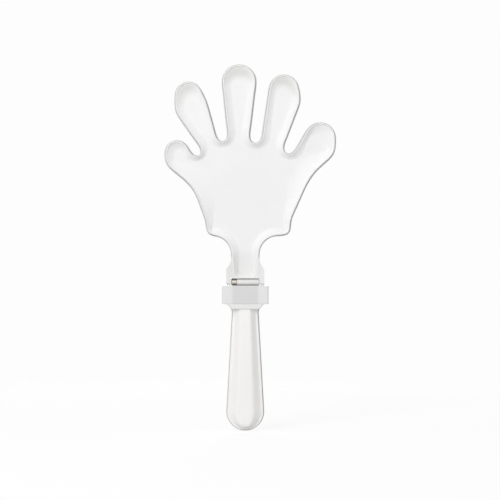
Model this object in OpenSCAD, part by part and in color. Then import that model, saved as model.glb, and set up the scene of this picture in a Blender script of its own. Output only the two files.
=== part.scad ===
// Hand clapper: a handle with a fixed middle hand, and two dished hands hinged in front of it and behind it.
// X runs across the hand, Y from front to back, Z up the handle. The origin is the middle of the grip.

/* [Hands] */
// Width across the hand, from the little finger to the thumb
hand_w = 131.5; // [122:0.5:140]
// Height of the heel of the palm above the middle of the grip
heel_z = 102.5; // [102:0.5:108]
// Depth of a dished hand, from its flat back to its rim
dish_d = 6; // [5.6:0.1:6.6]
// Thickness of the floor of a dished hand
floor_t = 1.6; // [1.2:0.1:2.2]
// Width of the rim on top of a dish's wall
rim_w = 1.8; // [1.4:0.1:2.2]
// Width of the curved foot of a dish's wall
wall_foot = 2.8; // [2:0.1:3.4]
// How much longer that foot is at the tip of a finger
tip_scoop = 3.6; // [0:0.1:4]
// Thickness of the middle hand at its rim
middle_t = 4; // [3.2:0.1:4.4]
// Depth of the panel sunk into each face of the middle hand
panel_d = 0.8; // [0.4:0.1:1.2]
// Gap between the backs of the dished hands and the middle hand
shut_gap = 0.3; // [0.25:0.05:0.6]

/* [Hinges] */
// Furthest angle that a dished hand opens to
open_deg = 40; // [20:1:45]
// Diameter of a hinge pin
pin_d = 2.5; // [2:0.1:3]
// Clearance all round a pin in its knuckle
pin_fit = 0.05; // [0.02:0.01:0.1]
// Radius of a knuckle, and of the round end of a cheek
knuckle_r = 2.3; // [2:0.1:2.3]
// Height of the pins above the middle of the grip
hinge_z = 67.3; // [67.3:0.1:68]
// Distance of the pins from the middle of the part
hinge_y = 5.6; // [5.4:0.1:6]
// Width across the two cheeks of a dished hand
cheek_w = 29.4; // [28:0.2:31]
// Width of the window between the cheeks
window_w = 21.4; // [20:0.2:22]
// Length of pin that shows between a knuckle and the left cheek
bare_pin = 4.4; // [0.4:0.2:6]

/* [Collar] */
// Width of the collar
collar_w = 35.5; // [33:0.5:40]
// Depth of the collar
collar_d = 22; // [22:0.5:28]
// Height of the collar
collar_h = 14.1; // [13:0.1:14.5]
// Height of the collar's upper face above the middle of the grip
collar_top = 64.7; // [64:0.1:64.7]
// Rounding of the collar's upright edges
collar_r = 1.2; // [0.8:0.1:3]

/* [Handle] */
// Width of the handle at its narrow neck
neck_w = 20.6; // [20:0.2:23]
// Width of the handle at its round end
end_w = 29; // [26:0.5:32]
// Height of the middle of the round end, below the middle of the grip
end_z = -31.8; // [-40:0.2:-24]
// Depth of one shell at the neck
neck_d = 10; // [9:0.1:10.4]
// Depth of one shell at the round end
end_d = 10.8; // [10:0.1:13]
// Width of the flat lip round a shell
lip_w = 2; // [1.4:0.1:2.4]
// Thickness of that lip
lip_t = 5.2; // [4:0.1:6]
// Wall thickness of a shell
shell_t = 1.8; // [1.2:0.1:2]

/* [Hidden] */
$fn = 48;
white = [0.95, 0.95, 0.94];
shade_white = [0.86, 0.86, 0.86];
steel = [0.62, 0.61, 0.58];
clear = 0.2;

// Planes of the dished hand, as distances from the middle plane
dish_back = middle_t / 2 + shut_gap;
dish_rim = dish_back + dish_d;
dish_floor = dish_back + floor_t;

// Heights in the neck of a dished hand, from the pin upwards
window_top = hinge_z + knuckle_r + 0.4;
bar_h = 3.1;
recess_z = window_top + bar_h;
flare_z = hinge_z + 8.7;
waist_r = 14;
waist_z = heel_z - waist_r - 0.3;
waist_x = 11;
recess_x = 8;
cheek_drop = 0.8;
cheek_top = waist_z - 2;
wall_steps = 3;
// How far the cuts in the neck run past its faces and below the pin, each to a plane of its own
over = [0.5, 0.7, 0.9];
below = [7, 6, 8];

// Tang of the middle hand inside the handle
tang_w = 11;
tang_end = 8;
peg_z = [38, 16];
peg_r = 1.9;
peg_in = 2.5;
socket_in = 3;
boss_r = 3.4;

// Collar and the spigot of the shells inside it
collar_z = collar_top - collar_h;
cap_t = 2.7;
spigot_x = 13.9;
spigot_y = 8.2;
band_h = 3.8;
band_d = collar_d / 2 - 0.4;

// An outline is a belt round pegs [x, z, radius, turn]. A peg with turn 1 lies inside the outline
// and makes a round corner; one with turn -1 lies outside it and makes a hollow.
function reach(p) = p[2] * p[3];
function lean(p, q) = atan2(q[1] - p[1], q[0] - p[0])
    + acos((reach(q) - reach(p)) / norm([q[0] - p[0], q[1] - p[1]]));
function full_turn(a) = a - 360 * floor(a / 360);
function turned(p, a, b) = p[3] > 0 ? full_turn(b - a) : full_turn(b - a) - 360;
function steps(t) = max(1, ceil(abs(t) / 12));
// Points of the belt, moved outwards by grow
function belt(pegs, grow = 0) = [
    for (i = [0 : len(pegs) - 1])
        let (n = len(pegs),
             p = pegs[i],
             a = lean(pegs[(i + n - 1) % n], p),
             t = turned(p, a, lean(p, pegs[(i + 1) % n])),
             k = steps(t))
        for (j = [0 : k])
            let (b = a + t * j / k)
            [p[0] - (reach(p) + grow) * cos(b), p[1] - (reach(p) + grow) * sin(b)]];

// Pegs of the palm and fingers, from the thumb side over the fingertips to the little finger side.
// They are set out from the heel of a hand 131.5 wide. Column 5 is 1 on the peg at a fingertip.
hand_k = hand_w / 131.5;
hand_pegs = [
    [30, 5, 5, 1, 0],
    [43, 9.5, 8, -1, 0],
    [91.7, 15.5, 50, -1, 0],
    [56, 68.3, 13.2, 1, 0],
    [57.2, 74.8, 12.2, 1, 1],
    [33.3, 66.4, 3.8, -1, 0],
    [29.5, 104.1, 13.1, 1, 0],
    [29.5, 111.7, 11.8, 1, 1],
    [7.8, 74.8, 4, -1, 0],
    [-4.7, 117.7, 13.5, 1, 1],
    [-17.5, 75.6, 3.6, -1, 0],
    [-41.2, 98.5, 12.9, 1, 0],
    [-43.4, 107.3, 10.8, 1, 1],
    [-41.2, 98.5, 12.9, 1, 0],
    [-37.1, 64.2, 3.3, -1, 0],
    [-52, 63.4, 9.9, 1, 0.35],
    [-51.5, 59, 10, 1, 0],
    [-70.4, 14.8, 36, -1, 0],
    [-38.2, 8.2, 8, -1, 0],
    [-25.2, 5, 5, 1, 0]];
palm_x = 2.5;
palm_z = 38;
// A hand's pegs at its true size, with each fingertip drawn back by scoop towards the palm
function hand(scoop = 0) = [
    for (p = hand_pegs)
        let (away = [p[0] - palm_x, p[1] - palm_z],
             back = p[4] * scoop * away / norm(away))
        [hand_k * p[0] - back[0], heel_z + hand_k * p[1] - back[1], hand_k * p[2], p[3]]];

// Pegs below the palm, given for the right side and repeated on the left in the opposite order
function both_sides(right, middle) = concat(
    right,
    middle,
    [for (i = [len(right) - 1 : -1 : 0]) [-right[i][0], right[i][1], right[i][2], right[i][3]]]);
waist = [waist_x + waist_r, waist_z, waist_r, -1];
dish_neck = [
    [cheek_w / 2 - 0.6, hinge_z - knuckle_r - 0.4, 0.6, 1],
    [cheek_w / 2 - 6, flare_z, 6, 1],
    waist];
recess_r = wall_foot + 0.6;
recess_neck = [
    [recess_x - recess_r, recess_z + recess_r, recess_r + rim_w, 1],
    waist];
middle_neck = [
    [waist_x - 1.8, collar_z + 1, 1, 1],
    waist];

// A plate of the given outline in the upright plane, from y = -near back to y = -near + t
module plate(outline, near, t) {
    translate([0, t - near, 0])
        rotate([90, 0, 0])
            linear_extrude(t)
                polygon(outline);
}

// A closed skin through rings that have the same count of points, with flat ends
module skin(rings) {
    n = len(rings[0]);
    m = len(rings);
    sides = [
        for (i = [0 : m - 2])
            for (j = [0 : n - 1])
                let (a = i * n + j,
                     b = i * n + (j + 1) % n)
                each [[a, b, a + n], [b, b + n, a + n]]];
    polyhedron(
        points = [for (r = rings) each r],
        faces = concat(
            sides,
            [[for (j = [n - 1 : -1 : 0]) j]],
            [[for (j = [0 : n - 1]) (m - 1) * n + j]]));
}

// A bar along X with the given profile in Y and Z, centred on the pin of the front hand
module along_pin(from, to) {
    translate([from, -hinge_y, hinge_z])
        rotate([90, 0, 90])
            linear_extrude(to - from)
                children();
}

// Hollow of a dish: its wall steps out in a concave curve, and its foot runs out further at the fingertips
module dish_hollow() {
    rise = dish_d - floor_t;
    for (i = [0 : wall_steps - 1])
        let (out = pow(1 - i / wall_steps, 2),
             low = rise * i / wall_steps)
        plate(
            belt(both_sides(recess_neck, hand(tip_scoop * out)), -rim_w - wall_foot * out),
            dish_rim + 1 + low,
            dish_rim + 1 - dish_floor);
}

// Side view of a cheek's round end, with a toe that is level when the hand is fully open
module cheek_end() {
    corner_r = 0.3;
    front = hinge_y - dish_rim + corner_r;
    rear = hinge_y - dish_back - corner_r;
    toe = -knuckle_r / cos(open_deg) - front * tan(open_deg);
    polygon(belt([
        [0, 0, knuckle_r, 1],
        [rear, corner_r, corner_r, 1],
        [rear, 6, corner_r, 1],
        [front, 6, corner_r, 1],
        [front, toe + 2 * corner_r, corner_r, 1]]));
}

module dished_hand() {
    cheek = (cheek_w - window_w) / 2;
    difference() {
        plate(belt(both_sides(dish_neck, hand())), dish_rim, dish_d);
        dish_hollow();
        // Window for the knuckle
        translate([-window_w / 2, -dish_rim - over[0], hinge_z - below[0]])
            cube([window_w, dish_d + 2 * over[0], window_top - hinge_z + below[0]]);
        // Round lower ends of the cheeks
        difference() {
            translate([-cheek_w / 2 - 1, -dish_rim - over[1], hinge_z - below[1]])
                cube([cheek_w + 2, dish_d + 2 * over[1], below[1]]);
            along_pin(-cheek_w / 2 - 2, cheek_w / 2 + 2)
                cheek_end();
        }
        // Faces of the cheeks, a little lower than the ribs beside the recess
        for (left = [-cheek_w / 2 - 1.5, window_w / 2 - 0.5])
            translate([left, -dish_rim - over[2], hinge_z - below[2]])
                cube([cheek + 2, cheek_drop + over[2], cheek_top - hinge_z + below[2]]);
        along_pin(-cheek_w / 2 - 2, cheek_w / 2 + 2)
            circle(d = pin_d);
    }
}

module hinge_pin() {
    along_pin(0.3 - cheek_w / 2, cheek_w / 2 - 0.3)
        circle(d = pin_d);
}

// Knuckle on the front of the middle hand, with the web that carries it
module knuckle() {
    from = bare_pin - window_w / 2;
    to = window_w / 2 - 0.3;
    along_pin(from, to) {
        circle(knuckle_r);
        translate([0, -knuckle_r])
            square([hinge_y, knuckle_r + 1.8]);
    }
}

module middle_hand() {
    outline = both_sides(middle_neck, hand());
    panel = both_sides(recess_neck, hand());
    color(white)
        difference() {
            union() {
                plate(belt(outline), middle_t / 2, middle_t);
                translate([-tang_w / 2, -middle_t / 2, tang_end])
                    cube([tang_w, middle_t, collar_z - tang_end + 1]);
                knuckle();
                mirror([0, 1, 0])
                    knuckle();
            }
            plate(belt(panel, -rim_w - 1), middle_t / 2 + 1, panel_d + 1);
            mirror([0, 1, 0])
                plate(belt(panel, -rim_w - 1), middle_t / 2 + 1, panel_d + 1);
            for (side = [0, 1])
                mirror([0, side, 0])
                    along_pin(-cheek_w, cheek_w)
                        circle(pin_d / 2 + pin_fit);
            for (z = peg_z)
                translate([0, 0, z])
                    rotate([90, 0, 0])
                        cylinder(h = middle_t + 2, r = peg_r + clear, center = true);
        }
}

module collar() {
    corner = [collar_w / 2 - collar_r, collar_d / 2 - collar_r];
    signs = [[1, -1], [1, 1], [-1, 1], [-1, -1]];
    corners = [for (s = signs) [s[0] * corner[0], s[1] * corner[1], collar_r, 1]];
    color(shade_white)
        difference() {
            translate([0, 0, collar_z])
                linear_extrude(collar_h)
                    polygon(belt(corners));
            // Pocket for the spigot of the shells
            translate([-spigot_x - clear, -spigot_y - clear, collar_z - 1])
                cube([2 * (spigot_x + clear), 2 * (spigot_y + clear), collar_h - cap_t + 1]);
            // Slot for the neck of the middle hand
            translate([clear - waist_x, -middle_t / 2 - clear, collar_z])
                cube([2 * (waist_x - clear), middle_t + 2 * clear, collar_h + 1]);
        }
}

// Outline of the handle: a round end, straight sides, and a flare under the collar
flare_r = 7;
flare_top = collar_z - 7;
handle_pegs = [
    [0, end_z, end_w / 2, 1],
    [neck_w / 2 + flare_r, flare_top, flare_r, -1],
    [neck_w / 2 + 3, collar_z - 0.5, 0.5, 1],
    [-neck_w / 2 - 3, collar_z - 0.5, 0.5, 1],
    [-neck_w / 2 - flare_r, flare_top, flare_r, -1]];
band_z = collar_z - band_h;

// Half width of the crown inside the lip at height z, and its rise above the lip there
dome_r = end_w / 2 - lip_w;
function round_end(z) = z > end_z ? 1 : sqrt(max(0, 1 - pow((z - end_z) / dome_r, 2)));
function along(z) = max(0, (z - end_z) / (flare_top - end_z));
function dome_x(z) = round_end(z) * (dome_r + along(z) * (neck_w - end_w) / 2);
function dome_y(z) = (1 - pow(1 - round_end(z), 3)) * (end_d + along(z) * (neck_d - end_d) - lip_t);
// Fall of the crown from its middle, 0, to its edge, 1: flat, then bending, then a straight flank
flat_to = 0.3;
bend_to = 0.7;
function fall(u) =
    let (bend = bend_to - flat_to,
         t = min(1, max(0, (u - flat_to) / bend)))
    (bend * (pow(t, 3) - pow(t, 4) / 2) + max(0, u - bend_to)) / (bend / 2 + 1 - bend_to);
// Ring of a crown at height z, drawn in by thin, on y = -base, with straight sides to y = -foot
function dome_ring(z, thin, base, foot) =
    let (x = dome_x(z) - thin,
         n = 20)
    concat(
        [for (i = [0 : n])
            let (a = 180 * i / n)
            [x * cos(a), -base - dome_y(z) * (1 - fall(abs(cos(a)))), z]],
        [[-x, -foot, z], [x, -foot, z]]);
function dome_heights(gap, top) =
    let (low = end_z - dome_r + gap,
         n = 9,
         m = 6)
    concat(
        [for (i = [0 : n - 1]) end_z - (end_z - low) * cos(90 * i / n)],
        [for (i = [0 : m]) end_z + (top - end_z) * i / m]);

// One half of the handle, in front of the middle plane
module plain_shell() {
    difference() {
        union() {
            plate(belt(handle_pegs), lip_t, lip_t);
            skin([for (z = dome_heights(0.15, band_z + 1)) dome_ring(z, 0, lip_t - clear, lip_t / 2)]);
            // Band under the collar, and the spigot that goes up into the collar
            intersection() {
                plate(belt(handle_pegs), band_d, band_d);
                translate([-collar_w, -collar_d, band_z])
                    cube([2 * collar_w, collar_d, band_h]);
            }
            translate([-spigot_x, -spigot_y, collar_z - 1])
                cube([2 * spigot_x, spigot_y, collar_h - cap_t + 1 - clear]);
        }
        skin([
            for (z = dome_heights(shell_t + 2.4, band_z - 1))
                dome_ring(z, shell_t, lip_t - shell_t, -1)]);
        // Room for the tang and the neck of the middle hand
        translate([-tang_w / 2 - clear, -middle_t / 2, 0])
            cube([tang_w + 2 * clear, middle_t, collar_z]);
        translate([clear - waist_x, -middle_t / 2 - clear, collar_z - 1])
            cube([2 * (waist_x - clear), middle_t, collar_h + 1]);
    }
    // Bosses that bear on the tang
    for (z = peg_z)
        translate([0, -middle_t / 2, z])
            rotate([90, 0, 0])
                cylinder(h = dome_y(z) + lip_t - middle_t / 2 - shell_t / 2, r = boss_r);
}

module handle_front_shell() {
    color(white) {
        plain_shell();
        for (z = peg_z)
            translate([0, middle_t / 2 + peg_in, z])
                rotate([90, 0, 0])
                    cylinder(h = middle_t + peg_in + 1, r = peg_r);
    }
}

module handle_rear_shell() {
    color(white)
        difference() {
            mirror([0, 1, 0])
                plain_shell();
            for (z = peg_z)
                translate([0, middle_t / 2 + socket_in, z])
                    rotate([90, 0, 0])
                        cylinder(h = socket_in + 1, r = peg_r + 0.05);
        }
}

module front_hand() {
    color(white)
        dished_hand();
}

module rear_hand() {
    color(white)
        mirror([0, 1, 0])
            dished_hand();
}

module front_hinge_pin() {
    color(steel)
        hinge_pin();
}

module rear_hinge_pin() {
    color(steel)
        mirror([0, 1, 0])
            hinge_pin();
}

handle_front_shell();
handle_rear_shell();
collar();
middle_hand();
front_hand();
rear_hand();
front_hinge_pin();
rear_hinge_pin();
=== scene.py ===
import math

import bmesh
import bpy
import numpy as np
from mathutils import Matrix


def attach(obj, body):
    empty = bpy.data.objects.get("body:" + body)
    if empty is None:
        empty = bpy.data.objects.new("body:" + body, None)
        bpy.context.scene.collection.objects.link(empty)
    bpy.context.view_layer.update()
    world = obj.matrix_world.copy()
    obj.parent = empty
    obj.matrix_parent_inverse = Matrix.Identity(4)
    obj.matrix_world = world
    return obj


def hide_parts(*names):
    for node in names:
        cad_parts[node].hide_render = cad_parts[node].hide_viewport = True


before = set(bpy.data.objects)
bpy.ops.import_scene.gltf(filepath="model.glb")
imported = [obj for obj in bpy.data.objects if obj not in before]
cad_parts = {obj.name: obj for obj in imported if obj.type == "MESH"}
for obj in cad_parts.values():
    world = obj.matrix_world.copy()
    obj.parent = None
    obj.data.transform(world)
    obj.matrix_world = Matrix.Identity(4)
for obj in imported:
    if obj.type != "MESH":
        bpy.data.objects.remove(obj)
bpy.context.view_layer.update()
mm = 0.001
print("frame loaded with", len(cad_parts), "nodes")

# camera straight in front with a long lens; across is the picture's width in mm at the hand's rim
view = {"centreX": 3.6, "centreZ": 91.7, "rimY": -8.3, "away": 1500.0, "across": 380.5,
        "sensor": 36.0, "clipEnd": 20}
camera = bpy.data.objects.new("camera", bpy.data.cameras.new("camera"))
camera.data.sensor_width = view["sensor"]
camera.data.lens = view["sensor"] * view["away"] / view["across"]
camera.data.clip_end = view["clipEnd"]
camera.location = np.array([view["centreX"], view["rimY"] - view["away"], view["centreZ"]]) * mm
camera.rotation_euler = (math.pi / 2, 0, 0)
bpy.context.scene.collection.objects.link(camera)
bpy.context.scene.camera = camera
bpy.context.scene.view_settings.view_transform = "Standard"
print("camera set")

# outlines are a belt pulled round pegs (x, z, radius, turn), where turn 1 is a round corner and -1 a hollow;
# steps are degrees on an arc and mm on a run, finer on the small closed loops
belt = {"arcStep": 5.0, "runStep": 1.8, "loopArcStep": 4, "loopRunStep": 1.2, "keySpan": 0.4, "runKey": 0.5}


def beltTurns(pegs):
    # angle of the normal where the belt reaches each peg, and how far it turns there
    step = np.roll(pegs[:, :2], -1, axis=0) - pegs[:, :2]
    reach = pegs[:, 2] * pegs[:, 3]
    lean = np.arccos((np.roll(reach, -1) - reach) / np.hypot(step[:, 0], step[:, 1]))
    leave = np.arctan2(step[:, 1], step[:, 0]) + lean
    arrive = np.roll(leave, 1)
    turn = np.mod(leave - arrive, 2 * np.pi)
    return arrive, np.where(pegs[:, 3] > 0, turn, turn - 2 * np.pi)


def beltRuns(pegs, grow):
    # ends of the straight run after each peg, on a belt moved outwards by grow
    arrive, turn = beltTurns(pegs)
    normal = np.stack([np.cos(arrive + turn), np.sin(arrive + turn)], 1)
    reach = (pegs[:, 2] * pegs[:, 3] + grow)[:, None]
    first = pegs[:, :2] - reach * normal
    last = np.roll(pegs[:, :2], -1, axis=0) - np.roll(reach, -1, axis=0) * normal
    return first, last


def beltCounts(pegs, arcStep, runStep):
    # points on each arc, one for every arcStep degrees, and inside each run, one for every runStep mm
    turn = beltTurns(pegs)[1]
    first, last = beltRuns(pegs, 0)
    arcCount = np.ceil(np.degrees(np.abs(turn)) / arcStep).astype(int) + 2
    runCount = np.floor(np.hypot(*(last - first).T) / runStep).astype(int)
    return arcCount, runCount


def beltPoints(pegs, grow, counts):
    # points round the belt in order, each with a key: its peg's number, plus up to keySpan on the arc,
    # and runKey more on the run after it
    arcCount, runCount = counts
    arrive, turn = beltTurns(pegs)
    arcPeg = np.repeat(np.arange(len(pegs)), arcCount)
    runPeg = np.repeat(np.arange(len(pegs)), runCount)
    arcShare = np.concatenate([np.linspace(0, 1, c) for c in arcCount])
    runShare = np.concatenate([np.linspace(0, 1, c + 2)[1:-1] for c in runCount])
    angle = arrive[arcPeg] + turn[arcPeg] * arcShare
    reach = (pegs[:, 2] * pegs[:, 3] + grow)[arcPeg, None]
    arcs = pegs[arcPeg, :2] - reach * np.stack([np.cos(angle), np.sin(angle)], 1)
    first, last = beltRuns(pegs, grow)
    runs = first[runPeg] + (last - first)[runPeg] * runShare[:, None]
    arcKeys = arcPeg + belt["keySpan"] * arcShare
    runKeys = runPeg + belt["runKey"] + belt["keySpan"] * runShare
    key = np.concatenate([arcKeys, runKeys])
    order = np.argsort(key, kind="stable")
    return np.concatenate([arcs, runs])[order], key[order]


def lengthAlong(line):
    # length from the first point of an open line to each of its points
    return np.concatenate([[0], np.cumsum(np.hypot(*np.diff(line, axis=0).T))])


def evenly(line, count):
    # count points at equal steps of length along an open line
    along = lengthAlong(line)
    at = np.linspace(0, along[-1], count)
    return np.stack([np.interp(at, along, line[:, 0]), np.interp(at, along, line[:, 1])], 1)


def roundLoop(pegs, grow, count=None):
    # closed belt, or the same belt as count even steps from its first point
    pegs = np.array(pegs, float)
    line = beltPoints(pegs, grow, beltCounts(pegs, belt["loopArcStep"], belt["loopRunStep"]))[0]
    return line if count is None else evenly(np.concatenate([line, line[:1]]), count + 1)[:-1]


# meshes: points nearer than weld mm become one, and edges past sharp degrees stay sharp
meshing = {"weld": 0.002, "sharp": 32}


def smoothFaces(mesh):
    mesh.polygons.foreach_set("use_smooth", np.ones(len(mesh.polygons), bool))
    mesh.set_sharp_from_angle(angle=math.radians(meshing["sharp"]))
    mesh.update()


def meshPiece(name, verts, faces):
    # object in metres from points in mm, with doubles merged and faces turned outwards
    mesh = bpy.data.meshes.new(name)
    mesh.from_pydata((np.asarray(verts) * mm).tolist(), [], faces)
    bm = bmesh.new()
    bm.from_mesh(mesh)
    bmesh.ops.remove_doubles(bm, verts=bm.verts, dist=meshing["weld"] * mm)
    bmesh.ops.recalc_face_normals(bm, faces=bm.faces)
    bm.to_mesh(mesh)
    bm.free()
    smoothFaces(mesh)
    piece = bpy.data.objects.new(name, mesh)
    bpy.context.scene.collection.objects.link(piece)
    return piece


def loftFaces(rings, count, start, loop):
    # quads between neighbouring rings of count points, then a flat face on each end,
    # or in a loop a join from the last ring to the first
    i, j = np.meshgrid(np.arange(rings if loop else rings - 1), np.arange(count), indexing="ij")
    low, high, beside = i * count, (i + 1) % rings * count, (j + 1) % count
    quads = np.stack([low + j, low + beside, high + beside, high + j], -1).reshape(-1, 4) + start
    faces = quads.tolist()
    if not loop:
        ring = np.arange(count) + start
        faces += [ring[::-1].tolist(), (ring + (rings - 1) * count).tolist()]
    return faces


def lofted(parts):
    # several lofts as one set of points and faces; a part is (rings as an array r x n x 3, loop or not)
    verts, faces, start = [], [], 0
    for rings, loop in parts:
        verts.append(rings.reshape(-1, 3))
        faces += loftFaces(rings.shape[0], rings.shape[1], start, loop)
        start += rings.shape[0] * rings.shape[1]
    return np.concatenate(verts), faces


def prism(name, outline, axis, low, high):
    # outline carried straight along one axis, with the other two axes in order
    flat = np.asarray(outline, float)
    rings = np.stack([np.insert(flat, axis, low, axis=1), np.insert(flat, axis, high, axis=1)])
    return meshPiece(name, *lofted([(rings, False)]))


def carve(piece, cutters):
    # takes each cutter out of the piece and keeps the result as its mesh
    for cutter in cutters:
        modifier = piece.modifiers.new("carve", "BOOLEAN")
        modifier.operation = "DIFFERENCE"
        modifier.solver = "EXACT"
        modifier.object = cutter
    mesh = bpy.data.meshes.new_from_object(piece.evaluated_get(bpy.context.evaluated_depsgraph_get()))
    piece.modifiers.clear()
    piece.data = mesh
    for cutter in cutters:
        bpy.data.objects.remove(cutter)
    smoothFaces(mesh)


def linear(text):
    # sRGB hex to linear colour
    c = np.array([int(text[i:i + 2], 16) for i in (1, 3, 5)]) / 255
    return (*np.where(c <= 0.04045, c / 12.92, ((c + 0.055) / 1.055) ** 2.4).tolist(), 1.0)


def addNode(tree, kind, settings=None, links=None):
    # one node: settings go to its own fields or else its sockets, links join other outputs to its inputs
    node = tree.nodes.new(kind)
    for key, value in (settings or {}).items():
        if not isinstance(key, int) and hasattr(node, key):
            setattr(node, key, value)
        else:
            node.inputs[key].default_value = value
    for key, source in (links or {}).items():
        tree.links.new(source, node.inputs[key])
    return node


def newMaterial(name):
    material = bpy.data.materials.new(name)
    material.use_nodes = True
    material.node_tree.nodes.clear()
    return material, material.node_tree


# width in mm over which a zone's inner side, its lean to the right and the parting line's painted shade fade
fade = {"out": 0.3, "lean": 12, "seamShade": 0.1}


def mouldedPlastic(name, look):
    # moulded polystyrene: soft white with a faint flow of lighter and darker resin, a glossy skin that is
    # slightly uneven where the mould was polished, and a very fine orange peel
    material, tree = newMaterial(name)
    where = addNode(tree, "ShaderNodeTexCoord").outputs["Object"]
    axes = addNode(tree, "ShaderNodeSeparateXYZ", None, {0: where}).outputs
    aside = addNode(tree, "ShaderNodeMath", {"operation": "ABSOLUTE"}, {0: axes["X"]}).outputs[0]
    flow = addNode(tree, "ShaderNodeTexNoise",
                   {"Scale": 1 / (look["flow"] * mm), "Detail": 3.0, "Roughness": 0.55}, {"Vector": where})
    tone = addNode(tree, "ShaderNodeMix",
                   {"data_type": "RGBA", 6: linear(look["pale"]), 7: linear(look["dull"])},
                   {0: flow.outputs["Fac"]}).outputs[2]
    # other tones that lie over it, each with its share: painted shade, except the middle hand's lighter
    # knuckles
    layers = []
    if look.get("middle"):
        # painted shade: a darker panel down the middle of the face, with soft sides
        middleShade = addNode(tree, "ShaderNodeMapRange",
                       {"interpolation_type": "SMOOTHSTEP",
                        1: look["middleTo"] * mm, 2: look["middleFrom"] * mm}, {0: aside})
        layers.append((middleShade.outputs[0], look["middle"]))
    for zone in look.get("zones", []):
        # another tone past a height and outside a distance from the middle, weaker on the right; on the hands
        # and the shoulder band it is painted shade
        out = addNode(tree, "ShaderNodeMapRange",
                      {1: (zone["out"] - fade["out"]) * mm, 2: zone["out"] * mm}, {0: aside})
        past = addNode(tree, "ShaderNodeMapRange",
                       {1: zone["none"] * mm, 2: zone["full"] * mm}, {0: axes["Z"]})
        lean = addNode(tree, "ShaderNodeMapRange",
                       {1: -fade["lean"] * mm, 2: fade["lean"] * mm, 3: 1.0, 4: zone["right"]},
                       {0: axes["X"]})
        both = addNode(tree, "ShaderNodeMath", {"operation": "MULTIPLY"},
                       {0: out.outputs[0], 1: past.outputs[0]})
        share = addNode(tree, "ShaderNodeMath", {"operation": "MULTIPLY"},
                        {0: both.outputs[0], 1: lean.outputs[0]})
        layers.append((share.outputs[0], zone["tone"]))
    if look.get("seamShade"):
        # painted shade along the parting line, on both sides of the middle plane, for the dark outline round
        # the handle
        deep = addNode(tree, "ShaderNodeMath", {"operation": "ABSOLUTE"}, {0: axes["Y"]})
        line = addNode(tree, "ShaderNodeMapRange",
                       {1: (look["seamHalf"] + fade["seamShade"]) * mm, 2: look["seamHalf"] * mm},
                       {0: deep.outputs[0]})
        layers.append((line.outputs[0], look["seamShade"]))
    if look.get("tip"):
        # painted shade: the scoops under the long fingertips are tinted a faint olive grey half way down
        # their walls
        shade = addNode(tree, "ShaderNodeAttribute", {"attribute_name": "tipShade"})
        layers.append((shade.outputs["Fac"], look["tip"]))
    for share, colour in layers:
        tone = addNode(tree, "ShaderNodeMix", {"data_type": "RGBA", 7: linear(colour)},
                       {0: share, 6: tone}).outputs[2]
    polish = addNode(tree, "ShaderNodeTexNoise",
                     {"Scale": 1 / (look["polish"] * mm), "Detail": 2.0}, {"Vector": where})
    gloss = addNode(tree, "ShaderNodeMapRange",
                    {3: look["roughLow"], 4: look["roughHigh"]}, {0: polish.outputs["Fac"]})
    peel = addNode(tree, "ShaderNodeTexNoise",
                   {"Scale": 1 / (look["peel"] * mm), "Detail": 1.0}, {"Vector": where})
    skin = addNode(tree, "ShaderNodeBump",
                   {"Strength": look["peelStrength"], "Distance": look["peelDepth"] * mm},
                   {"Height": peel.outputs["Fac"]})
    shader = addNode(tree, "ShaderNodeBsdfPrincipled", {"IOR": 1.5},
                     {"Base Color": tone, "Roughness": gloss.outputs[0], "Normal": skin.outputs["Normal"]})
    addNode(tree, "ShaderNodeOutputMaterial", None, {"Surface": shader.outputs[0]})
    return material


def drawnWire(name, look):
    # drawn steel wire: fine lines along the wire from the die, a warm grey, dull rather than bright
    material, tree = newMaterial(name)
    where = addNode(tree, "ShaderNodeTexCoord").outputs["Object"]
    stretched = addNode(tree, "ShaderNodeMapping", {"Scale": (look["stretch"], 1.0, 1.0)}, {"Vector": where})
    lines = addNode(tree, "ShaderNodeTexNoise",
                    {"Scale": 1 / (look["line"] * mm), "Detail": 2.0},
                    {"Vector": stretched.outputs[0]}).outputs["Fac"]
    tone = addNode(tree, "ShaderNodeMix",
                   {"data_type": "RGBA", 6: linear(look["pale"]), 7: linear(look["dull"])}, {0: lines})
    gloss = addNode(tree, "ShaderNodeMapRange", {3: look["roughLow"], 4: look["roughHigh"]}, {0: lines})
    skin = addNode(tree, "ShaderNodeBump",
                   {"Strength": look["lineStrength"], "Distance": look["lineDepth"] * mm}, {"Height": lines})
    shader = addNode(tree, "ShaderNodeBsdfPrincipled", {"Metallic": 1.0},
                     {"Base Color": tone.outputs[2], "Roughness": gloss.outputs[0],
                      "Normal": skin.outputs["Normal"]})
    addNode(tree, "ShaderNodeOutputMaterial", None, {"Surface": shader.outputs[0]})
    return material


# sizes in mm: flow is the width of a resin streak, polish of a duller patch, peel of an orange peel dimple
# and line of a die line, the last two drawn coarser than they are so that they show
moulding = {"peel": 1.1, "peelStrength": 0.03, "peelDepth": 0.05}
# tip is the painted olive shade in the fingertip scoops
handLook = {**moulding, "pale": "#F8F8F8", "dull": "#F0F0F0", "tip": "#E4E5E0",
            "flow": 38, "polish": 14, "roughLow": 0.42, "roughHigh": 0.52,
            # painted shade: the cheeks and, in the next zone, the neck are greyer, more on the left than on
            # the right
            "zones": [{"tone": "#E6E6E5", "right": 0.45, "out": 10.3, "none": 85, "full": 80},
                      {"tone": "#E9E9E8", "right": 0.1, "out": 0, "none": 92, "full": 86}]}
# the middle hand's grey is painted shadow, standing for the dark outline where its edge shows round the
# dished hands; its zone lifts the knuckles below 72 mm to a lighter tone
middleLook = {**moulding, "pale": "#D4D4D3", "dull": "#CCCCCB",
              "flow": 38, "polish": 14, "roughLow": 0.42, "roughHigh": 0.52,
              "zones": [{"tone": "#EAEAE8", "right": 1.0, "out": 0, "none": 74, "full": 72}]}
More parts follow.
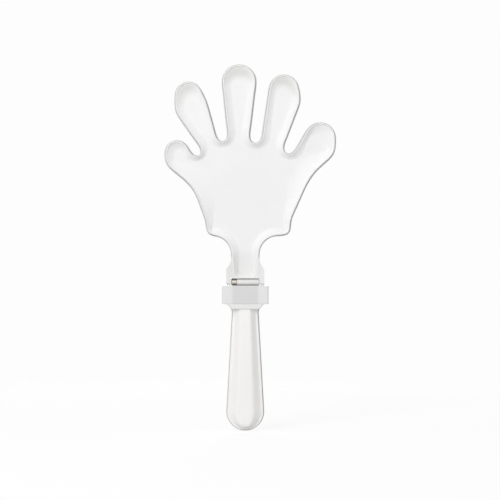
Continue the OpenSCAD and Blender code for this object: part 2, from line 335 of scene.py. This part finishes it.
# the seam tone is painted shade along the parting line, for the dark outline round the handle
gripLook = {**moulding, "pale": "#FEFDFC", "dull": "#F9F8F6", "seamShade": "#CFCFCE", "seamHalf": 0.3,
            "flow": 30, "polish": 12, "roughLow": 0.24, "roughHigh": 0.34,
            # the zone is painted shade on the shoulder band under the collar
            "zones": [{"tone": "#EFEFEE", "right": 1.0, "out": 0, "none": 46.5, "full": 46.8}]}
collarLook = {**moulding, "pale": "#EEEEEE", "dull": "#E6E6E6",
              # the darker middle is painted shade down the collar's face
              "middle": "#DDDDDD", "middleFrom": 8.5, "middleTo": 11.0,
              "flow": 24, "polish": 10, "roughLow": 0.26, "roughHigh": 0.36}
wireLook = {"pale": "#DCD8D0", "dull": "#C6C1B7", "roughLow": 0.5, "roughHigh": 0.62,
            "line": 0.35, "stretch": 0.04, "lineStrength": 0.2, "lineDepth": 0.03}
handPlastic = mouldedPlastic("moulded_polystyrene_gloss_white", handLook)
middlePlastic = mouldedPlastic("moulded_polystyrene_white_painted_edge_shadow", middleLook)
gripPlastic = mouldedPlastic("moulded_polystyrene_warm_white", gripLook)
collarPlastic = mouldedPlastic("moulded_polystyrene_pale_grey", collarLook)
wireSteel = drawnWire("drawn_steel_wire", wireLook)
print("materials made")


def place(piece, material, body, node):
    # gives a piece its material in its one slot and the body it moves with, and hides the CAD node it stands
    # for
    piece.data.materials.clear()
    piece.data.materials.append(material)
    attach(piece, body)
    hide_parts(node)
    print(piece.name, "has", len(piece.data.polygons), "faces")


# outline of the hands: peg columns are x, z above the heel, radius, turn, and 1 at a fingertip
hand = {
    "heel": 102.5, "palmX": 2.5, "palmZ": 38.0, "palmR": 30, "palmSpread": 1.6, "cornerShrink": 0.8,
    "neckSteps": 120, "flow": 4.0, "longFrom": 100,
    "pegs": [
        (30, 5, 5, 1, 0), (43, 9.5, 8, -1, 0), (91.7, 15.5, 50, -1, 0),
        (56, 68.3, 13.2, 1, 0), (57.2, 74.8, 12.2, 1, 1), (33.3, 66.4, 3.8, -1, 0),
        (29.5, 104.1, 13.1, 1, 0), (29.5, 111.7, 11.8, 1, 1), (7.8, 74.8, 4, -1, 0),
        (-4.7, 117.7, 13.5, 1, 1), (-17.5, 75.6, 3.6, -1, 0),
        (-41.2, 98.5, 12.9, 1, 0), (-43.4, 107.3, 10.8, 1, 1), (-41.2, 98.5, 12.9, 1, 0),
        (-37.1, 64.2, 3.3, -1, 0), (-52, 63.4, 9.9, 1, 0.35), (-51.5, 59, 10, 1, 0),
        (-70.4, 14.8, 36, -1, 0), (-38.2, 8.2, 8, -1, 0), (-25.2, 5, 5, 1, 0)],
    "dishNeck": [(13.1, 61.0, 2.6, 1), (9.75, 75.6, 6, 1), (25, 88.2, 13.6, -1)],
    "recessNeck": [(4.6, 74.0, 5.2, 1), (25, 88.2, 14, -1)],
    "middleNeck": [(9.2, 51.6, 1, 1), (25, 88.2, 14, -1)],
}


def handPegs(neck, scoop):
    # neck pegs on the right, palm and fingers with their tips drawn back by scoop towards the palm,
    # neck pegs on the left
    pegs = np.array(hand["pegs"], float)
    away = pegs[:, :2] - (hand["palmX"], hand["palmZ"])
    back = (pegs[:, 4] * scoop / np.hypot(*away.T))[:, None] * away
    fingers = np.column_stack([pegs[:, :2] - back + (0, hand["heel"]), pegs[:, 2:4]])
    right = np.array(neck, float)
    return np.concatenate([right, fingers, right[::-1] * (-1, 1, 1, 1)])


def handCounts(pegs):
    return beltCounts(pegs, belt["arcStep"], belt["runStep"])


dishEnds = len(hand["dishNeck"]) - 1
fingerCounts = [c[dishEnds:-dishEnds] for c in handCounts(handPegs(hand["dishNeck"], 0))]


def handLines(neck, scoop, grow):
    # the belt in two open lines: the fingers from right to left, and the neck from left to right
    pegs, ends = handPegs(neck, scoop), len(neck) - 1
    counts = [np.concatenate([own[:ends], same, own[len(own) - ends:]])
              for own, same in zip(handCounts(pegs), fingerCounts)]
    # the palm's long hollow sides move in with scoop too, and a round corner keeps a fifth of its radius
    palmSides = (pegs[:, 3] < 0) & (pegs[:, 2] > hand["palmR"])
    grow = grow - hand["palmSpread"] * scoop * palmSides
    grow = np.where(pegs[:, 3] > 0, np.maximum(grow, -hand["cornerShrink"] * pegs[:, 2]), grow)
    line, key = beltPoints(pegs, grow, counts)
    last = len(pegs) - 1 - ends + belt["keySpan"] + 0.01
    top = line[(key >= ends) & (key <= last)]
    return top, np.concatenate([top[-1:], line[key > last], line[key < ends], top[:1]])


def flowMatrix(line, reach):
    # every point as a mean of its neighbours within about reach mm along the line, taken twice so that
    # curves keep their size, and fading out at three times reach from both ends
    along = lengthAlong(line)
    weight = np.exp(-0.5 * ((along[:, None] - along) / reach) ** 2) * np.gradient(along)
    weight /= weight.sum(1, keepdims=True)
    share = np.clip(np.minimum(along, along[-1] - along) / (3 * reach), 0, 1)[:, None]
    return np.eye(len(line)) * (1 - share) + share * (2 * weight - weight @ weight)


fingerFlow = flowMatrix(handLines(hand["dishNeck"], 0, 0)[0], hand["flow"])


def handRing(neck, scoop, grow, depth):
    # one ring of a hand at y = depth: the same points on the fingers for every ring, the neck in even steps
    top, below = handLines(neck, scoop, grow)
    flat = np.concatenate([fingerFlow @ top, evenly(below, hand["neckSteps"] + 2)[1:-1]])
    return np.insert(flat, 1, depth, axis=1)


# dished hands in mm: back, floor and rim from the middle plane, inset of the outline from the solid's,
# rounds and wall, and the window, cheeks and hole at the hinge
dish = {"back": 2.3, "floor": 4.5, "rim": 8.3, "inset": 1.25, "backRound": 0.45, "rimRound": 0.3,
        "rimFlat": 0.12, "lipRound": 0.3, "mouthOut": 0.3, "mouthUp": 0.4, "stepIn": 0.4, "stepDown": 0.9,
        "foot": 4.6, "bowl": 1.5, "wallRings": 20, "floorRing": 0.8, "scoop": 5.0,
        "windowHalf": 10.7, "windowTop": 70.0, "hingeY": 5.6, "hingeZ": 67.3, "knuckle": 2.3, "hole": 1.27,
        "openDeg": 40, "cheekFrom": 10.2, "cheekTop": 86.2, "cheekDrop": 0.4}
# how far the cutters reach past the plate
cut = {"near": 1, "toeY": 9, "heelY": 10, "windowY": 11, "cheekY": 12, "cheekX": 20, "toeX": 21, "holeX": 22,
       "low": 50, "windowLow": 55}
# painted olive shade of a tip: mm below the tip's centre where it starts, mm over which it grows, radii it
# reaches
tipFade = {"before": 3, "over": 8, "radii": 1.1}


def dishPlateRings():
    # solid plate of the hand from back to rim, with quarter rounds at the back edge and the rim's outer edge
    quarter = np.radians(np.linspace(0, 90, 7))
    r, s = dish["backRound"], dish["rimRound"]
    rows = [(-r * (1 - np.sin(a)), dish["back"] + r * (1 - np.cos(a))) for a in quarter]
    rows += [(0, dish["back"] + r + (dish["rim"] - s - dish["back"] - r) * t) for t in (0.33, 0.66)]
    rows += [(-s * (1 - np.cos(a)), dish["rim"] - s * (1 - np.sin(a))) for a in quarter]
    return np.stack([handRing(hand["dishNeck"], 0, grow - dish["inset"], depth) for grow, depth in rows])


def dishHollowRings():
    # what is scooped out: a quarter round on the rim's inner edge, a short steep step, then a bowl's wall
    # down to the floor, falling as a power of the way left, longer at the fingertips and the palm's sides
    edge, p = dish["rimRound"] + dish["rimFlat"], dish["lipRound"]
    rows = [(0, -edge + dish["mouthOut"], dish["rim"] + dish["mouthUp"])]
    rows += [(0, -edge - p * np.sin(a), dish["rim"] - p * (1 - np.cos(a)))
             for a in np.radians((12, 30, 50, 70))]
    edge += p + dish["stepIn"]
    drop = dish["rim"] - p - dish["stepDown"] - dish["floor"]
    rows += [(dish["scoop"] * t, -edge - dish["foot"] * t, dish["floor"] + drop * (1 - t) ** dish["bowl"])
             for t in np.linspace(0, 1, dish["wallRings"])]
    rows.append((dish["scoop"], -edge - dish["foot"] - dish["floorRing"], dish["floor"]))
    return np.stack([handRing(hand["recessNeck"], scoop, grow - dish["inset"], depth)
                     for scoop, grow, depth in rows])


def shadeTips(mesh):
    # attribute for the painted shade, 1 half way down the scoop of the long fingers' tips, 0 on the rim,
    # floor and palm
    at = np.empty(len(mesh.vertices) * 3, np.float32)
    mesh.vertices.foreach_get("co", at)
    at = at.reshape(-1, 3) / mm
    pegs = np.array(hand["pegs"])
    tips = pegs[(pegs[:, 4] == 1) & (pegs[:, 1] > hand["longFrom"])]
    away = tips[:, :2] - (hand["palmX"], hand["palmZ"])
    away /= np.hypot(*away.T)[:, None]
    off = at[:, None, [0, 2]] - tips[:, :2] - (0, hand["heel"])
    past = np.clip(((off * away).sum(-1) + tipFade["before"]) / tipFade["over"], 0, 1)
    past *= np.hypot(off[..., 0], off[..., 1]) < tipFade["radii"] * tips[:, 2]
    top = dish["rim"] - dish["lipRound"] - dish["stepDown"]
    down = np.clip((top - np.abs(at[:, 1])) / (top - dish["floor"]), 0, 1)
    shade = mesh.attributes.new("tipShade", "FLOAT", "POINT")
    shade.data.foreach_set("value", (past.max(1) * 4 * down * (1 - down)).astype(np.float32))


def dishedHand(name, side):
    # the plate, with the hollow, the window, the round cheek ends, the pin's hole and the cheeks' lower faces
    # taken out
    piece = meshPiece(name, *lofted([(dishPlateRings() * (1, side, 1), False)]))
    hollow = meshPiece("cutHollow", *lofted([(dishHollowRings() * (1, side, 1), False)]))
    w, y, z, k = dish["windowHalf"], dish["hingeY"], dish["hingeZ"], dish["knuckle"]
    low, high = cut["windowLow"], dish["windowTop"]
    window = [(-w, low), (w, low), (w, high), (-w, high)]
    # side of a cheek below the pin: round about the pin, then a toe that is level when the hand is fully open
    turn = np.radians(np.linspace(0, 90 + dish["openDeg"], 30))
    heel = np.stack([y - k * np.cos(turn), z - k * np.sin(turn)], 1)
    slope = math.tan(math.radians(dish["openDeg"]))
    toe = heel[-1] + (cut["toeY"] - heel[-1, 0]) * np.array([1, slope])
    below = [toe, (cut["heelY"], cut["low"]), (cut["near"], cut["low"])]
    underCheek = np.concatenate([[(cut["near"], z)], heel, below]) * (side, 1)
    around = np.radians(np.linspace(0, 360, 33)[:-1])
    hole = np.stack([side * y + dish["hole"] * np.cos(around), z + dish["hole"] * np.sin(around)], 1)
    cutters = [hollow,
               prism("cutWindow", window, 1, *sorted((side * cut["near"], side * cut["windowY"]))),
               prism("cutToe", underCheek, 0, -cut["toeX"], cut["toeX"]),
               prism("cutHole", hole, 0, -cut["holeX"], cut["holeX"])]
    faceFrom, faceTo = sorted((side * (dish["rim"] - dish["cheekDrop"]), side * cut["cheekY"]))
    for s in (-1, 1):
        inner, outer = s * dish["cheekFrom"], s * cut["cheekX"]
        face = [(inner, cut["low"]), (outer, cut["low"]),
                (outer, dish["cheekTop"]), (inner, dish["cheekTop"])]
        cutters.append(prism("cutCheek", face, 1, faceFrom, faceTo))
    carve(piece, cutters)
    shadeTips(piece.data)
    return piece


for handName, side in (("front_hand", -1), ("rear_hand", 1)):
    place(dishedHand(handName + "_dish", side), handPlastic, handName, handName)
print("dished hands made")

# fixed hand between them: half thickness, edge round, panels, and its two knuckles along the pins, whose
# ends are drawn in as (way along the pin, growth)
middle = {"half": 2.0, "inset": 0.1, "edge": 0.25, "panel": 0.8, "panelInset": 2.8, "panelRound": 0.4,
          "panelLip": 0.3, "from": -6.3, "to": 10.4, "webTop": 1.8, "webRound": 0.3,
          "ends": [(0.0, -0.28), (0.06, -0.12), (0.16, -0.03), (0.32, 0.0)]}


def middleRings():
    # section from the front panel over the rim, round the edge and back to the rear panel, both faces alike
    quarter = np.radians(np.linspace(0, 90, 6))
    h, e, q, lip = middle["half"], middle["edge"], middle["panelRound"], middle["panelLip"]
    floor, start = h - middle["panel"], middle["panelInset"]
    rows = [(hand["recessNeck"], -start - q * (1 - np.sin(a)), floor + q * (1 - np.cos(a))) for a in quarter]
    rows += [(hand["recessNeck"], -start + lip * np.sin(a), h - lip * (1 - np.sin(a))) for a in quarter]
    rows += [(hand["middleNeck"], -e * (1 - np.sin(a)), h - e * (1 - np.cos(a))) for a in quarter]
    rows += [(neck, grow, -depth) for neck, grow, depth in rows[::-1]]
    return np.stack([handRing(neck, 0, grow - middle["inset"], -depth) for neck, grow, depth in rows])


def knuckleRings(side):
    # barrel and its web: a belt round the pin and the web's root, carried along the pin with rounded ends
    k, y, r = dish["knuckle"], dish["hingeY"], middle["webRound"]
    pegs = [(0, 0, k, 1), (y, -k + r, r, 1), (y, middle["webTop"] - r, r, 1)]
    rows = [(middle["from"] + x, grow) for x, grow in middle["ends"]]
    rows += [(middle["to"] - x, grow) for x, grow in middle["ends"][::-1]]
    rings = [np.insert(roundLoop(pegs, grow), 0, x, axis=1) for x, grow in rows]
    return (np.stack(rings) + (0, -y, dish["hingeZ"])) * (1, -side, 1)


middleParts = [(rings, False) for rings in (middleRings(), knuckleRings(-1), knuckleRings(1))]
place(meshPiece("middle_hand_plate", *lofted(middleParts)), middlePlastic,
      "handle", "middle_hand")
print("middle hand made")

# hinge pins: half length, radius, chamfered ends, and the sleeve on the bare stretch
pin = {"half": 14.4, "radius": 1.25, "chamfer": 0.35, "tipIn": 0.1, "tipDrop": 0.16, "around": 48,
       "sleeve": 1.9, "sleeveFrom": -10.5, "sleeveTo": -6.5, "sleeveRound": 0.15}


def pinRings(side):
    # circle carried along x, drawn in at both ends and wider on the sleeve
    half, radius, wide, ease = pin["half"], pin["radius"], pin["sleeve"], pin["sleeveRound"]
    low, high = pin["sleeveFrom"], pin["sleeveTo"]
    end = [(-half, radius - pin["chamfer"]), (-half + pin["tipIn"], radius - pin["tipDrop"]),
           (-half + pin["chamfer"], radius)]
    sleeve = [(low, radius), (low, wide - ease), (low + ease, wide),
              (high - ease, wide), (high, wide - ease), (high, radius)]
    stations = end + sleeve + [(-x, r) for x, r in end[::-1]]
    around = np.radians(np.linspace(0, 360, pin["around"] + 1)[:-1])
    rings = [np.stack([np.full(pin["around"], x), r * np.cos(around), r * np.sin(around)], 1)
             for x, r in stations]
    return np.stack(rings) + (0, side * dish["hingeY"], dish["hingeZ"])


for handName, side in (("front_hand", -1), ("rear_hand", 1)):
    node = handName.split("_")[0] + "_hinge_pin"
    place(meshPiece(node + "_wire", *lofted([(pinRings(side), False)])), wireSteel,
          handName, node)
print("pins made")

# collar: outer size, rounds, the pocket for the handle's spigot and the slot for the neck
collar = {"halfX": 17.75, "halfY": 11.0, "low": 50.6, "high": 64.7, "corner": 1.2, "edge": 0.4,
          "pocketX": 14.1, "pocketY": 8.4, "pocketTop": 62.0, "slotX": 10.8, "slotY": 2.2,
          "innerCorner": 0.4, "mouth": 0.3, "mouthOut": 0.1, "mouthDown": 0.08, "steps": 240}


def boxPegs(halfX, halfY, corner):
    # belt pegs of a rectangle with round corners
    signs = ((1, -1), (1, 1), (-1, 1), (-1, -1))
    return [(sx * (halfX - corner), sy * (halfY - corner), corner, 1) for sx, sy in signs]


def collarRings():
    # one closed section: up the slot, over the top edge, down the outside, under, and up the pocket inside
    quarter = np.radians(np.linspace(0, 90, 6))
    outer = boxPegs(collar["halfX"], collar["halfY"], collar["corner"])
    slot = boxPegs(collar["slotX"], collar["slotY"], collar["innerCorner"])
    pocket = boxPegs(collar["pocketX"], collar["pocketY"], collar["innerCorner"])
    low, high, e, mouth = collar["low"], collar["high"], collar["edge"], collar["mouth"]
    rows = [(slot, 0, collar["pocketTop"]), (slot, 0, high - mouth),
            (slot, collar["mouthOut"], high - collar["mouthDown"]), (slot, mouth, high)]
    rows += [(outer, -e * (1 - np.sin(a)), high - e * (1 - np.cos(a))) for a in quarter]
    rows += [(outer, 0, high - 3 * e), (outer, 0, low + 3 * e)]
    rows += [(outer, -e * (1 - np.cos(a)), low + e * (1 - np.sin(a))) for a in quarter]
    rows += [(pocket, mouth, low), (pocket, 0, low + mouth), (pocket, 0, collar["pocketTop"])]
    return np.stack([np.insert(roundLoop(pegs, grow, collar["steps"]), 2, z, axis=1)
                     for pegs, grow, z in rows])


place(meshPiece("collar_band", *lofted([(collarRings(), True)])), collarPlastic,
      "handle", "collar")
print("collar made")

# handle shells: round end, neck, flare under the collar, lip and parting line, crown, and shoulder band
grip = {"endW": 29.0, "endZ": -31.8, "endD": 10.8, "neckW": 20.6, "neckD": 10.0,
        "flareR": 7.0, "flareTop": 43.6, "top": 50.6, "topOut": 3, "topRound": 0.5,
        "lap": 0.8, "lipW": 2.4, "lipT": 5.2, "lipRound": 0.4, "partCut": 0.2, "partFlat": 0.02,
        "flatTo": 0.3, "bendTo": 0.7, "crownFrom": 3, "crownInto": 1, "crownSink": 0.1, "around": 72,
        "bandLow": 46.8, "bandD": 10.85, "bandRound": 0.5, "bandOut": 3.5, "bandCorner": 1.2,
        "bandClear": 0.4, "bandSteps": 120}
neckHalf = grip["neckW"] / 2
gripPegs = [(0, grip["endZ"], grip["endW"] / 2, 1),
            (neckHalf + grip["flareR"], grip["flareTop"], grip["flareR"], -1),
            (neckHalf + grip["topOut"], grip["top"] - grip["topRound"], grip["topRound"], 1),
            (-neckHalf - grip["topOut"], grip["top"] - grip["topRound"], grip["topRound"], 1),
            (-neckHalf - grip["flareR"], grip["flareTop"], grip["flareR"], -1)]


def lipRings(lap):
    # flat plate of the handle's outline less lap, with a fine chamfer on the parting line, front edge round
    quarter = np.radians(np.linspace(0, 90, 6))
    r, c = grip["lipRound"], grip["partCut"]
    rows = [(-c, 0.0), (-c, grip["partFlat"]), (0, c)]
    rows += [(-r * (1 - np.cos(a)), grip["lipT"] - r * (1 - np.sin(a))) for a in quarter]
    return np.stack([np.insert(roundLoop(gripPegs, grow - lap), 1, -y, axis=1) for grow, y in rows])


def crownRings():
    # crown on the lip: flat, then bending, then a straight flank on each side, with a blunt end below
    endZ, sink = grip["endZ"], grip["crownSink"]
    reach = grip["endW"] / 2 - grip["lipW"]
    down = endZ - reach * np.cos(np.radians(np.linspace(grip["crownFrom"], 90, 40)))
    z = np.concatenate([down, np.linspace(endZ, grip["bandLow"] + grip["crownInto"], 60)[1:]])
    end = np.where(z > endZ, 1, np.sqrt(np.maximum(0, 1 - ((z - endZ) / reach) ** 2)))
    along = np.maximum(0, (z - endZ) / (grip["flareTop"] - endZ))
    halfX = end * (reach + along * (grip["neckW"] - grip["endW"]) / 2)
    depth = (1 - (1 - end) ** 3) * (grip["endD"] + along * (grip["neckD"] - grip["endD"]) - grip["lipT"])
    u = np.cos(np.radians(np.linspace(0, 180, grip["around"])))
    bend = grip["bendTo"] - grip["flatTo"]
    t = np.clip((np.abs(u) - grip["flatTo"]) / bend, 0, 1)
    fall = bend * (t ** 3 - t ** 4 / 2) + np.maximum(0, np.abs(u) - grip["bendTo"])
    x = halfX[:, None] * u
    y = sink - grip["lipT"] - (depth + sink)[:, None] * (1 - fall / fall.max())
    return np.stack([x, y, np.broadcast_to(z[:, None], x.shape)], -1)


def bandRings():
    # shoulder under the collar: a box section with round corners that follows the handle's flare
    line = roundLoop(gripPegs, 0)
    flare = (line[:, 1] > grip["flareTop"]) & (line[:, 1] < grip["top"] - grip["bandClear"])
    right = line[(line[:, 0] > 0) & flare]
    right = right[np.argsort(right[:, 1])]
    r, low, high, halfD = grip["bandRound"], grip["bandLow"], grip["top"], grip["bandD"] / 2
    rows = [(low + r * (1 - np.sin(a)), -r * (1 - np.cos(a))) for a in np.radians(np.linspace(90, 0, 6))]
    rows += [(z, 0) for z in np.linspace(low + r, high, 6)[1:]]
    rings = []
    for z, grow in rows:
        halfX = min(np.interp(z, right[:, 1], right[:, 0]), neckHalf + grip["bandOut"])
        pegs = np.array(boxPegs(halfX, halfD, grip["bandCorner"])) - (0, halfD, 0, 0)
        rings.append(np.insert(roundLoop(pegs, grow, grip["bandSteps"]), 2, z, axis=1))
    return np.stack(rings)


# the rear shell stands a little proud of the front one all round
for shellName, side, lap in (("handle_front_shell", 1, grip["lap"]), ("handle_rear_shell", -1, 0)):
    shellParts = [(rings * (1, side, 1), False) for rings in (lipRings(lap), crownRings(), bandRings())]
    place(meshPiece(shellName + "_moulding", *lofted(shellParts)), gripPlastic,
          "handle", shellName)
print("handle made")

# stage: white floor in mm under the handle's end, pale world, a soft key from the upper left in front, and a
# lamp low behind; lamps' sizes and places are in metres
studio = {"floorZ": -46.35, "floorHalf": 700, "fadeFrom": 300, "fadeTo": 680,
          "floorTone": 0.8, "floorSeen": 0.22, "floorGlow": 0.825,
          "white": 0.982, "ambient": 0.735, "ambientBehind": 0.06, "dimFrom": -0.1, "dimTo": 0.3,
          "key": 8.0, "keySize": 0.6, "keyAt": (-0.62, -1.25, 0.78),
          "back": 13.0, "backSize": 0.7, "backAt": (-0.15, 1.5, 0.3), "aim": (0, 0, 0.1)}


def backgroundRays(tree):
    # 1 for what the camera sees straight, in a gloss or through glass
    path = addNode(tree, "ShaderNodeLightPath").outputs
    seen = addNode(tree, "ShaderNodeMath", {"operation": "MAXIMUM"},
                   {0: path["Is Camera Ray"], 1: path["Is Glossy Ray"]})
    return addNode(tree, "ShaderNodeMath", {"operation": "MAXIMUM"},
                   {0: seen.outputs[0], 1: path["Is Transmission Ray"]}).outputs[0]


world = bpy.data.worlds.new("studio")
world.use_nodes = True
bpy.context.scene.world = world
sky = world.node_tree
sky.nodes.clear()
white = addNode(sky, "ShaderNodeBackground", {"Color": (1, 1, 1, 1), "Strength": studio["white"]})
# the light that falls on the part is dimmer from behind, so that its edges stand out from the white
ways = addNode(sky, "ShaderNodeTexCoord").outputs["Generated"]
behind = addNode(sky, "ShaderNodeSeparateXYZ", None, {0: ways}).outputs["Y"]
level = addNode(sky, "ShaderNodeMapRange",
                {"interpolation_type": "SMOOTHSTEP", 1: studio["dimFrom"], 2: studio["dimTo"],
                 3: studio["ambient"], 4: studio["ambientBehind"]}, {0: behind})
soft = addNode(sky, "ShaderNodeBackground", {"Color": (1, 1, 1, 1)}, {"Strength": level.outputs[0]})
skyMix = addNode(sky, "ShaderNodeMixShader", None,
                 {0: backgroundRays(sky), 1: soft.outputs[0], 2: white.outputs[0]})
addNode(sky, "ShaderNodeOutputWorld", None, {"Surface": skyMix.outputs[0]})

# floor: pale, glowing for the camera so that it meets the white behind it, with the shadow left in its matt
# share, and thinning out to nothing at its edge
floorMaterial, tree = newMaterial("pale_floor")
matt = addNode(tree, "ShaderNodeBsdfDiffuse", {"Color": (*[studio["floorTone"]] * 3, 1)})
seenMatt = addNode(tree, "ShaderNodeBsdfDiffuse", {"Color": (*[studio["floorSeen"]] * 3, 1)})
glow = addNode(tree, "ShaderNodeEmission", {"Color": (1, 1, 1, 1), "Strength": studio["floorGlow"]})
seen = addNode(tree, "ShaderNodeAddShader", None, {0: seenMatt.outputs[0], 1: glow.outputs[0]})
cover = addNode(tree, "ShaderNodeMixShader", None,
                {0: backgroundRays(tree), 1: matt.outputs[0], 2: seen.outputs[0]})
spot = addNode(tree, "ShaderNodeTexCoord").outputs["Object"]
outward = addNode(tree, "ShaderNodeVectorMath", {"operation": "LENGTH"}, {0: spot}).outputs["Value"]
thin = addNode(tree, "ShaderNodeMapRange",
               {"interpolation_type": "SMOOTHSTEP", 1: studio["fadeFrom"] * mm, 2: studio["fadeTo"] * mm},
               {0: outward})
clear = addNode(tree, "ShaderNodeBsdfTransparent")
thinned = addNode(tree, "ShaderNodeMixShader", None,
                  {0: thin.outputs[0], 1: cover.outputs[0], 2: clear.outputs[0]})
addNode(tree, "ShaderNodeOutputMaterial", None, {"Surface": thinned.outputs[0]})
h, z = studio["floorHalf"], studio["floorZ"]
corners = np.array([(-h, -h, z), (h, -h, z), (h, h, z), (-h, h, z)]) * mm
floorMesh = bpy.data.meshes.new("floor")
floorMesh.from_pydata(corners.tolist(), [], [(0, 1, 2, 3)])
floorMesh.materials.append(floorMaterial)
floor = bpy.data.objects.new("floor", floorMesh)
bpy.context.scene.collection.objects.link(floor)


def softLamp(name, power, size, at):
    # square area lamp turned towards the aim
    lamp = bpy.data.lights.new(name, "AREA")
    lamp.energy = power
    lamp.size = size
    holder = bpy.data.objects.new(name, lamp)
    holder.location = at
    x, y, z = np.array(studio["aim"]) - np.array(at)
    tilt = math.acos(-z / math.hypot(x, y, z))
    holder.rotation_euler = (tilt, 0, math.atan2(y, x) - math.pi / 2)
    bpy.context.scene.collection.objects.link(holder)


softLamp("key", studio["key"], studio["keySize"], studio["keyAt"])
softLamp("back", studio["back"], studio["backSize"], studio["backAt"])
print("stage and lamps set")
